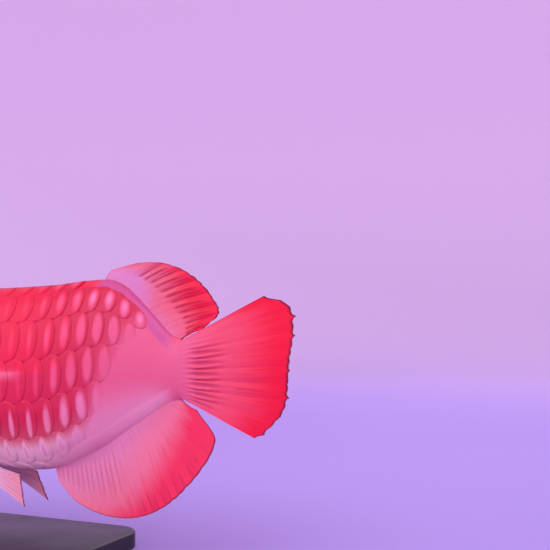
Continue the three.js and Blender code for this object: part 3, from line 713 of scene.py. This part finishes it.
def add_skin():
    """One closed skin from the snout to the tail's root, under the scales and round the head's plates."""
    body_s = np.linspace(HEAD_RINGS[1], STANDARD_LENGTH, BODY_RINGS)
    s = np.concatenate([SNOUT_RINGS, np.arange(*HEAD_RINGS), body_s])
    around = 2 * math.pi * (np.arange(SKIN_SIDES) + 0.5) / SKIN_SIDES
    angle = np.where(around < math.pi, around, 2 * math.pi - around)
    side = np.where(around < math.pi, -1.0, 1.0)
    grid_s, grid_a = np.meshgrid(s, angle, indexing="ij")
    grid_side = np.broadcast_to(side, grid_s.shape)
    _, z = section(grid_s, grid_a)
    forms = head_forms(np.stack([grid_s.ravel(), z.ravel()], -1))
    flank = ease((np.sin(grid_a) - 0.12) / 0.2)
    lift, plates, lines = (form.reshape(grid_s.shape) * flank for form in forms)
    # the skin sinks under the scales behind the head
    behind = np.where(z > 20, 101 + 0.5 * (34 - z), 126 - ((z + 4) / 24) ** 2 * 6)
    lift -= SKIN_SUNK * ease((grid_s - behind) / 6) * scales_show(grid_s, grid_a)
    sheath = fold_share(grid_s, z)
    lift += FOLD_LIFT * sheath
    points = surface(grid_s, grid_a, grid_side, lift)
    rings, sides = grid_s.shape
    flat = points.reshape(-1, 3)
    ends = np.array([points[0].mean(0), points[-1].mean(0)])
    faces = grid_faces(rings, sides, True).tolist()
    first, last = len(flat), len(flat) + 1
    for i in range(sides):
        j = (i + 1) % sides
        faces.append((first, j, i))
        faces.append((last, (rings - 1) * sides + i, (rings - 1) * sides + j))
    place = np.stack([grid_s / STANDARD_LENGTH, grid_a / math.pi, grid_side], -1).reshape(-1, 3)
    # form holds the plate mask, the painted shade of the head's grooves and holes, and the fold mask
    form = np.stack([plates, lines, sheath], -1).reshape(-1, 3)
    flesh = ["head", "lower_jaw", "trunk_front", "trunk_rear", "tail_stalk"]
    for name in ("upper_jaw", "gill_cover", "cheek"):
        flesh += [f"{name}_left", f"{name}_right"]

    def with_ends(values):
        return np.concatenate([values, values[:1], values[-1:]])

    mesh_piece(
        "skin",
        bend(np.concatenate([flat, ends])),
        faces,
        skin_material(),
        flesh,
        {"place": with_ends(place), "form": with_ends(form)},
    )


# Scales: each is a thin plate, rooted under the one in front, whose round rear edge stands proud
PLATE_RUNS = 11
PLATE_ACROSS = 13
ROOT_RUN = -0.95
PLATE_WIDTH = 1.16
LIFT_AT_ROOT, LIFT_PER_COLUMN = -0.5, 0.6
FADED_AT_ROOT, FADED_PER_COLUMN = -0.55, 0.2
PEARLY_FADED_AT_ROOT = -0.33
PLATE_THICKNESS = 0.25
EDGE_DROP = 0.34
PEARLY_ROW, PEARLY_FROM, PEARLY_TO = 1, 388.0, 478.0
LATERAL_ROW, LATERAL_TO = 3, 344.0
FOLD_CLEARANCE = 1.4  # how far down the scales keep off a fold, in heights of it
ROW_ENDS = {0: 392, PEARLY_ROW: 460, ROWS - 1: 340}
SCALES_TO = 484


def column_at(u):
    return FIRST_COLUMN + COLUMN_SPACING * u - COLUMN_NARROWING * u**3


def row_shift(row):
    """Every other row lies half a column further back."""
    return 0.5 if row % 2 else 0.0


def one_scale(row, column, side, chance):
    """Points of one scale's upper face, and its marks, on a grid of runs x across."""
    across = np.linspace(-1, 1, PLATE_ACROSS)
    share = np.linspace(0, 1, PLATE_RUNS) ** 0.8
    edge = BULGE * np.maximum(1 - np.abs(across) ** 2.3, 0) ** 0.5
    root = ROOT_RUN + 0.25 * np.abs(across) ** 2
    run = root[None, :] + (edge - root)[None, :] * share[:, None]
    s = column_at(column + row_shift(row) + run + 0.015 * chance)
    width = PLATE_WIDTH * math.pi / ROWS / 2
    narrow = 1 - 0.12 * ease(-run / 0.9)
    angle = (row + 0.5) * math.pi / ROWS + across[None, :] * width * narrow
    angle = np.clip(angle, 0.012, math.pi - 0.012)
    lift = LIFT_AT_ROOT + LIFT_PER_COLUMN * (run - ROOT_RUN)
    lift -= 0.25 * np.abs(across[None, :]) ** 3 + EDGE_DROP * (share[:, None] ** 7)
    pearly = ease((s - PEARLY_FROM) / 12) * ease((PEARLY_TO - s) / 15) * (row == PEARLY_ROW)
    _, level = section(np.minimum(s, STANDARD_LENGTH), angle)
    shown = np.maximum(scales_show(s, angle), pearly) * ease((np.sin(angle) - 0.08) / 0.3)
    shown = shown * (1 - fold_share(s, level, FOLD_CLEARANCE))
    # the pearly row ends on a fold, where it stays at the skin's level
    faded = PEARLY_FADED_AT_ROOT if row == PEARLY_ROW else FADED_AT_ROOT
    faded = faded + FADED_PER_COLUMN * (run - ROOT_RUN)
    lift = mix(faded, lift, shown) + 0.04 * chance
    ends = np.maximum(s - STANDARD_LENGTH, 0)
    points = surface(np.minimum(s, STANDARD_LENGTH), angle, side, lift)
    points[..., 0] += ends
    place = np.stack([s / STANDARD_LENGTH, angle / math.pi, np.full(s.shape, side)], -1)
    local = np.stack([run, np.broadcast_to(across, run.shape), np.full(run.shape, chance)], -1)
    streak = np.zeros(points.shape)
    streak[..., 1] = pearly
    # painted highlight: a pale sheen along the lateral line, on its row of scales
    if row == LATERAL_ROW:
        line = np.exp(-(((across[None, :] + 0.3) / 0.14) ** 2))
        streak[..., 0] = line * ease((LATERAL_TO - s) / 22) * mix(0.4, 1, ease((s - 230) / 60))
    return points, place, local, streak


def on_a_fold(row, column):
    """Whether a scale would lie past the end of its row, on a fleshy fold or at the tail's root."""
    return column_at(column + row_shift(row)) > ROW_ENDS.get(row, SCALES_TO)


def behind_the_head(row, column):
    """Whether a scale lies behind the nape and the gill cover's rear edge."""
    s = column_at(column + row_shift(row) + 0.1)
    _, z = section(s, (row + 0.5) * math.pi / ROWS)
    limit = 100 + 0.55 * (36 - z) if z > 20 else 127 - ((z + 4) / 24) ** 2 * 5
    return s > limit


def add_scales():
    rng = random.Random(7)
    points, faces, marks, patches = [], [], {"place": [], "local": [], "streak": []}, []
    size = PLATE_RUNS * PLATE_ACROSS
    upper = grid_faces(PLATE_RUNS, PLATE_ACROSS)
    # all faces of a scale look into it
    a, b = grid_edge(PLATE_RUNS, PLATE_ACROSS)
    rim = np.stack([a + size, b + size, b, a], -1)
    plate = np.concatenate([upper, upper[:, ::-1] + size, rim])
    first = 0
    for side in (-1, 1):
        for row in range(ROWS):
            for column in range(-2, COLUMNS - 1):
                chance = rng.uniform(-1, 1)
                if not behind_the_head(row, column) or on_a_fold(row, column):
                    continue
                top, *kept = one_scale(row, column, side, chance)
                # the lower face lies inward of the upper one, and down or up from it near the ridges
                low = top.copy()
                y_in = np.sign(top[..., 1]) * PLATE_THICKNESS
                low[..., 1] -= np.where(np.abs(top[..., 1]) > 1.5, y_in, 0.3 * y_in)
                low[..., 2] -= np.where(np.abs(top[..., 1]) > 6, 0, np.sign(top[..., 2]) * PLATE_THICKNESS)
                points += [top, low]
                for values, part in zip(marks.values(), kept):
                    values += [part] * 2
                faces += (plate[:, ::side] + first).tolist()
                patches.append((row, column, side))
                first += 2 * size
    piece = mesh_piece(
        "scale_coat",
        bend(np.concatenate(points)),
        faces,
        scale_material(),
        (),
        {key: np.concatenate(values) for key, values in marks.items()},
    )
    add_patches(piece, patches)


# Each scale's place on an unwrap of the skin: along the fish one way, round the body the other
PATCH_STEP = (1 / (COLUMNS + 4), 1 / (2 * ROWS + 1))
PATCH_SHARE = 0.8


def add_patches(piece, patches):
    """A map named OFBake, in which each scale has a patch of its own at its root's place."""
    patch_size = [step * PATCH_SHARE for step in PATCH_STEP]
    runs, across = np.meshgrid(
        np.linspace(0, 1, PLATE_RUNS), np.linspace(0, 1, PLATE_ACROSS), indexing="ij"
    )
    spots = []
    for row, column, side in patches:
        u = (column + 2 + row_shift(row)) * PATCH_STEP[0] + 0.01
        v = 0.5 + side * (row + 0.5) * PATCH_STEP[1] - PATCH_STEP[1] / 2
        patch = np.stack([u + runs * patch_size[0], v + across * patch_size[1]], -1)
        spots += [patch] * 2
    spots = np.concatenate(spots).reshape(-1, 2)
    mesh = piece.data
    corners = np.empty(len(mesh.loops), np.int32)
    mesh.loops.foreach_get("vertex_index", corners)
    layer = mesh.uv_layers.new(name="OFBake")
    layer.data.foreach_set("uv", spots[corners].astype(np.float32).ravel())


# Fins: each is a closed sheet with its rays as ribs
RIB_SAMPLES = 8


def rib_profile(phase):
    """Thickness share at a place between two rays: 1 on a ray, thin on the skin between."""
    off = np.abs(phase - np.round(phase)) * 2
    return off, np.maximum(1 - (off / 0.62) ** 2, 0) ** 0.7


def plain_relief(t, v):
    return np.full(np.broadcast(t, v).shape, 0.8)


def fin_sheet(
    node, rays, middle_of, half_of, material, seed, rows, margin,
    flip=False, samples=RIB_SAMPLES, rib_depth=0.5, relief_of=plain_relief, tips=0.0,
):
    """A fin in a node's place, whose rays run from v = 0 to v = 1 at t = 0 to 1.

    middle_of and half_of give its middle sheet and half its thickness, relief_of how strongly its ribs
    stand out, margin how deep the edge is notched between rays, and tips how far single rays reach past
    the edge. With flip the two sides face outward, else inward; the rim faces the other way from them."""
    rng = random.Random(seed)
    count = (rays - 1) * samples + 1
    phase = np.linspace(0, rays - 1, count)
    off, rib = rib_profile(phase)
    t = phase / (rays - 1)
    nearest = np.round(phase).astype(int)
    notch = np.array([rng.uniform(0.3, 1.6) for _ in range(rays + 1)])[nearest]
    spike = np.array([rng.random() ** 5 for _ in range(rays + 1)])[nearest]
    reach = 1 - margin * off**1.4 * notch
    reach += tips * spike * np.maximum(1 - off / 0.5, 0) ** 1.5
    v = np.linspace(0, 1, rows) ** 0.9
    grid_t = np.broadcast_to(t[:, None], (count, rows))
    grid_v = reach[:, None] * v[None, :]
    middle = middle_of(grid_t, grid_v)
    relief = relief_of(grid_t, grid_v)
    # each ray splits in two towards its tip
    split = ease((v[None, :] - 0.45) / 0.25)
    twin = np.maximum(1 - ((np.abs(off - 0.36)) / 0.3) ** 2, 0)[:, None] ** 0.7
    ribs = mix(rib[:, None], np.maximum(twin, 0.15 * rib[:, None]), split)
    half = half_of(grid_t, grid_v) * mix(1 - rib_depth * relief, 1, ribs)
    normal = np.cross(np.gradient(middle, axis=0), np.gradient(middle, axis=1))
    normal /= np.linalg.norm(normal, axis=-1, keepdims=True)
    out = normal * half[..., None]
    size = count * rows
    quads = grid_faces(count, rows)
    a, b = grid_edge(count, rows)
    rim = np.stack([b, b + size, a + size, a], -1)
    faces = np.concatenate([quads, quads[:, ::-1] + size, rim])
    faces = (faces[:, ::-1] if flip else faces).tolist()
    ray = np.stack([grid_v, (1 - ribs) * relief, grid_t], -1)
    edge = np.broadcast_to(v[None, :], grid_v.shape)
    comb = np.stack([grid_t, grid_v, edge], -1)
    marks = {"ray": [ray, ray], "comb": [comb, comb]}
    name = node.replace("_fin", "_fin_skin")
    mesh_piece(name, bend([middle + out, middle - out]), faces, material, [node], marks)


def outline_path(shares, along, up):
    """The tips of a fin's rays, along and up, as functions of the share of its rays."""
    return through(shares, along), through(shares, up)


def ripples(t, v, rays, depth):
    """Small sideways pleats of the skin between rays, as soft tissue has."""
    return depth * v * np.sin(t * (rays - 1) * math.pi)


def spell(v, start, rise, end, fall):
    """0, then 1 between start and end, then 0 again."""
    return ease((v - start) / rise) * ease((end - v) / fall)


DORSAL_BASE = (406.0, 489.0)
DORSAL_TIPS = outline_path(
    (0, 0.13, 0.28, 0.46, 0.68, 0.84, 1),
    (414, 446, 479, 506, 526, 532, 516),
    (79.5, 84.5, 83, 73, 54.5, 43.5, 31),
)
ANAL_BASE = (352.0, 490.0)
ANAL_TIPS = outline_path(
    (0, 0.15, 0.35, 0.55, 0.75, 0.92, 1),
    (357, 379, 414, 456, 497, 528, 509),
    (-101, -118, -126, -119, -95, -54, -31),
)
CAUDAL_TIPS = outline_path(
    (0, 0.06, 0.22, 0.5, 0.75, 0.9, 1),
    (563, 571, 589, 594, 597, 592, 571),
    (-48.5, -45.5, -26, 6, 33, 51, 57),
)
SUNK = 5.0  # of a fin's root in the body


def add_dorsal_fin():
    along_tip, up_tip = DORSAL_TIPS
    rays = 18

    def relief_of(t, v):
        return np.maximum(ease((t - 0.14) / 0.14) * spell(v, 0.28, 0.2, 1.05, 0.2), 0.12)

    def middle_of(t, v):
        s = mix(DORSAL_BASE[0], DORSAL_BASE[1], t)
        x = mix(s, along_tip(t), v)
        z = mix(top_at(s) - SUNK, up_tip(t), v) + 8 * v * (1 - v)
        y = 1.5 * v * np.sin(t * math.pi * 3 + v * 2) + ripples(t, v, rays, 0.9) * relief_of(t, v)
        return np.stack([x, y, z], -1)

    colours = (rgb(214, 132, 178), rgb(230, 104, 124), rgb(238, 30, 66))
    gap_runs, spread = (0.26, 0.42, 0.74, 0.98), (1.3, 0.6, 0.2)
    # the dark colour after the fin's colours is painted shade between the rays
    paint = fin_material("dorsal_skin", colours, rgb(172, 14, 48), 0.74, gap_runs, spread)
    fin_sheet(
        "dorsal_fin", rays, middle_of, lambda t, v: mix(1.6, 0.45, v), paint, seed=11,
        rows=44, margin=0.014, flip=True, relief_of=relief_of, tips=0.012,
    )


def add_anal_fin():
    along_tip, up_tip = ANAL_TIPS
    rays = 29

    def relief_of(t, v):
        front = 0.62 * ease((0.62 - t) / 0.2) * spell(v, 0.1, 0.12, 0.95, 0.4)
        rear = 0.7 * spell(v, 0.7, 0.16, 1.1, 0.1) * spell(t, 0.42, 0.14, 0.94, 0.14)
        return np.maximum.reduce([front, rear, np.full(t.shape, 0.06)])

    def middle_of(t, v):
        s = mix(ANAL_BASE[0], ANAL_BASE[1], t)
        x = mix(s, along_tip(t), v)
        z = mix(bottom_at(s) + SUNK, up_tip(t), v) - 6 * v * (1 - v)
        y = 1.5 * v * np.sin((1 - t) * math.pi * 3 + v * 2) + ripples(t, v, rays, 0.5) * relief_of(t, v)
        return np.stack([x, y, z], -1)

    def half_of(t, v):
        return mix(mix(3.2, 1.2, ease(v / 0.22)), 0.4, v)

    colours = (rgb(224, 134, 166), rgb(234, 122, 144), rgb(238, 48, 84))
    gap_runs, spread = (0.12, 0.3, 1.1, 1.2), (1.1, 0.9, 0.35)
    # the dark colour after the fin's colours is painted shade between the rays
    paint = fin_material("anal_skin", colours, rgb(190, 34, 76), 0.6, gap_runs, spread)
    fin_sheet(
        "anal_fin", rays, middle_of, half_of, paint, seed=13,
        rows=44, margin=0.005, relief_of=relief_of,
    )


def add_caudal_fin():
    along_tip, up_tip = CAUDAL_TIPS
    root_at, root_up, root_turn = STANDARD_LENGTH - SUNK, 21.8, 1.36
    rays = 18

    def relief_of(t, v):
        near = 0.9 * spell(v, 0.12, 0.14, 0.62, 0.26) * spell(t, 0.0, 0.1, 0.84, 0.16)
        far = 0.7 * spell(v, 0.5, 0.12, 0.94, 0.22) * np.exp(-(((t - 0.36) / 0.17) ** 2))
        return np.maximum.reduce([near, far, 0.12 * ease(v / 0.3)])

    def root_level(t):
        return root_up * np.sin(mix(-1, 1, t) * root_turn) / math.sin(root_turn)

    def middle_of(t, v):
        w = v**1.15
        y = 1.5 * v * np.sin(t * 7 + v) + ripples(t, v, rays, 0.9) * relief_of(t, v)
        return np.stack([mix(root_at, along_tip(t), w), y, mix(root_level(t), up_tip(t), w)], -1)

    def half_of(t, v):
        # as thick as the tail's root where it leaves it, then quickly thin
        root_half, _ = section(root_at, angle_at_level(root_at, root_level(t)))
        return mix(np.maximum(0.985 * root_half, 0.6), mix(1.3, 0.35, v), ease((v - 0.1) / 0.42))

    colours = (rgb(227, 97, 131), rgb(234, 78, 106), rgb(236, 18, 56))
    gap_runs, spread = (0.1, 0.25, 1.1, 1.2), (0.05, 0.5, 0.0)
    # the dark colour after the fin's colours is painted shade between the rays
    paint = fin_material("caudal_skin", colours, rgb(192, 34, 72), 0.5, gap_runs, spread)
    fin_sheet(
        "caudal_fin", rays, middle_of, half_of, paint, seed=17,
        rows=60, margin=0.006, flip=True, rib_depth=0.45, relief_of=relief_of, tips=0.022,
    )


# base is from and to along, then from and to up; lead and trail are the first and last ray, root to tip
PECTORAL = dict(
    base=(124, 141, -51, -67), lead=(112, 74, -30), trail=(58, 14, -20),
    spread=0.85, bow=7, half=(1.5, 0.45), rays=7,
)
PELVIC = dict(
    base=(258, 270, -87, -90), lead=(74, 4, -36), trail=(53, 3, -7),
    spread=1.0, bow=2, half=(1.1, 0.45), rays=6,
)


def add_paired_fin(kind, word, side, fin, paint, seed):
    from_s, to_s, from_up, to_up = fin["base"]
    lead, trail = (np.array(fin[ray], float) * (1, side, 1) for ray in ("lead", "trail"))

    def middle_of(t, v):
        s = mix(from_s, to_s, t)
        root = surface(s, angle_at_level(s, mix(from_up, to_up, t)), side)
        reach = mix(lead, trail, (t ** fin["spread"])[..., None])
        length = np.linalg.norm(reach, axis=-1)
        w = mix(-6 / length, 1, v)
        bow = fin["bow"] * 4 * w * (1 - w)
        pleat = ripples(t, v, fin["rays"], 0.6)
        lean = np.stack([-bow * 0.3, side * bow * 0.8, bow + pleat], -1)
        return root + reach * w[..., None] + lean

    fin_sheet(
        f"{kind}_fin_{word}", fin["rays"], middle_of, lambda t, v: mix(*fin["half"], v), paint, seed,
        rows=40, margin=0.005, flip=side < 0, samples=14,
    )


def add_paired_fins():
    everywhere = (-0.2, 0.0, 1.1, 1.2)
    red = (rgb(204, 30, 60), rgb(226, 36, 68), rgb(236, 60, 84))
    pale = (rgb(212, 174, 204), rgb(216, 172, 198), rgb(224, 148, 166))
    # the colour after each fin's colours is painted shade between the rays
    pectoral = fin_material("pectoral_skin", red, DARK_CRIMSON, 0.6, everywhere, (0.4, 0.5, 0.0))
    pelvic = fin_material("pelvic_skin", pale, CRIMSON, 0.2, everywhere, (0.2, 0.5, 0.0))
    for word, side in SIDES:
        add_paired_fin("pectoral", word, side, PECTORAL, pectoral, 19)
        add_paired_fin("pelvic", word, side, PELVIC, pelvic, 23)


def add_eyes():
    paint = eye_material()
    rings, sides = 40, 64
    for word, side in SIDES:
        flank = surface(EYE_CENTRE[0], angle_at_level(*EYE_CENTRE), side, EYE_STANDS_OUT)
        centre = np.array([EYE_CENTRE[0], flank[1] - side * EYE_DEPTH, EYE_CENTRE[1]])
        tilt = np.linspace(0.001, math.pi - 0.001, rings)
        turn = np.linspace(0, 2 * math.pi, sides, endpoint=False)
        a, b = np.meshgrid(tilt, turn, indexing="ij")
        x = EYE_RADIUS * np.sin(a) * np.cos(b)
        z = EYE_RADIUS * np.sin(a) * np.sin(b)
        y = side * EYE_DEPTH * np.cos(a)
        ball = centre + np.stack([x, y, z], -1)
        # how far from the pupil's middle, three times as far on the hidden back half
        off = np.hypot(x, z) / EYE_RADIUS * np.where(np.cos(a) > 0, 1, 3)
        iris = np.stack([off, np.cos(b), np.sin(b)], -1)
        faces = [face[::side] for face in tube_faces(rings, sides)]
        mesh_piece(f"eye_ball_{word}", bend(ball), faces, paint, [f"eye_{word}"], {"iris": iris})


def tube(path, radii, sides):
    """Points and faces of a closed round tube along points."""
    ahead = np.gradient(path, axis=0)
    ahead /= np.linalg.norm(ahead, axis=1, keepdims=True)
    across = np.cross(ahead, (0.0, 1.0, 0.3))
    across /= np.linalg.norm(across, axis=1, keepdims=True)
    other = np.cross(ahead, across)
    turn = 2 * math.pi * np.arange(sides) / sides
    rings = path[:, None] + radii[:, None, None] * (
        across[:, None] * np.cos(turn)[None, :, None] + other[:, None] * np.sin(turn)[None, :, None]
    )
    return rings, tube_faces(len(path), sides)


def spline(points, count):
    """A smooth path through points."""
    steps = np.arange(len(points))
    fine = np.linspace(0, len(points) - 1, count)
    return np.stack([through(steps, points[:, k])(fine) for k in range(3)], -1)


# The right barbel, from under the lip to its tip
BARBEL = ((7, 3.6, 8.5), (5, 4.2, 8), (-8, 6.5, 7.5), (-24, 10, 12), (-40, 14.5, 21))
BARBEL_POINTS, BARBEL_SIDES = 60, 20


def add_barbels():
    paint = lip_material()
    share = np.linspace(0, 1, BARBEL_POINTS)
    rings = 1 + 0.05 * np.sin(share * 190)
    round_tip = np.minimum(1, (1.02 - share) * 14)
    radii = mix(1.8, 0.4, share) * rings * round_tip
    for word, side in SIDES:
        path = spline(np.array(BARBEL) * (1, side, 1), BARBEL_POINTS)
        points, faces = tube(path, radii, BARBEL_SIDES)
        mesh_piece(f"barbel_skin_{word}", bend(points), faces, paint, [f"barbel_{word}"])


# The stand
BASE_SIZE = (0.300, 0.124, 0.014)
BASE_CORNER = 0.026
BASE_EDGE, BASE_CHAMFER = 0.002, 0.0006
ROD_PLACES = {"front": 168.0, "rear": 240.0}
ROD_RADIUS, ROD_SIDES = 4.0, 48
ROD_FROM, ROD_SUNK = 14.3, 4.0  # just over the base, and in the belly
# The foot of a rod, as (radius, height) from the base up
FOOT = ((8.6, 0), (9, 0.5), (9, 1.4), (8.2, 2.2), (6, 4), (4.8, 5.6), (4.15, 7.4), (ROD_RADIUS, 9))


def sharpen(piece, angle):
    """Keeps edges of more than an angle in degrees hard under smooth shading."""
    piece.data.set_sharp_from_angle(angle=math.radians(angle))


def add_rods():
    paint = rod_material()
    turn = 2 * math.pi * np.arange(ROD_SIDES) / ROD_SIDES
    for word, along in ROD_PLACES.items():
        high = AXIS_HEIGHT + float(bottom_at(along)) + ROD_SUNK
        profile = [(r, ROD_FROM + up) for r, up in FOOT] + [(ROD_RADIUS, high)]
        middle = along - OVER_STAND
        points = [(middle + r * math.cos(a), r * math.sin(a), z) for r, z in profile for a in turn]
        rod = mesh_piece(
            f"stand_rod_{word}_round",
            np.array(points) * MM,
            tube_faces(len(profile), ROD_SIDES),
            paint,
            [f"stand_rod_{word}"],
        )
        sharpen(rod, 40)


def add_base():
    """The base, with round corners and an eased upper edge."""
    length, width, height = BASE_SIZE
    turn = np.linspace(0, math.pi / 2, 14)
    outline = []
    for k, (sx, sy) in enumerate(((1, 1), (-1, 1), (-1, -1), (1, -1))):
        centre = (sx * (length / 2 - BASE_CORNER), sy * (width / 2 - BASE_CORNER))
        outline += [(centre, math.cos(a), math.sin(a)) for a in turn + k * math.pi / 2]
    # each level as (inset, height): a small chamfer below and a quarter round above
    levels = [(BASE_CHAMFER, 0.0), (0.0, BASE_CHAMFER)]
    for a in np.linspace(0, math.pi / 2, 6):
        levels.append((BASE_EDGE * (1 - math.cos(a)), height - BASE_EDGE * (1 - math.sin(a))))
    points = []
    for inset, z in levels:
        r = BASE_CORNER - inset
        points += [(c[0] + r * x, c[1] + r * y, z) for c, x, y in outline]
    faces = tube_faces(len(levels), len(outline))
    base = mesh_piece("stand_base_slab", points, faces, stand_material())
    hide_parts("stand_base")
    sharpen(base, 30)


bpy.context.scene.view_settings.view_transform = "Standard"
add_camera()
add_studio()
add_skin()
add_scales()
add_dorsal_fin()
add_anal_fin()
add_caudal_fin()
add_paired_fins()
add_eyes()
add_barbels()
add_base()
add_rods()
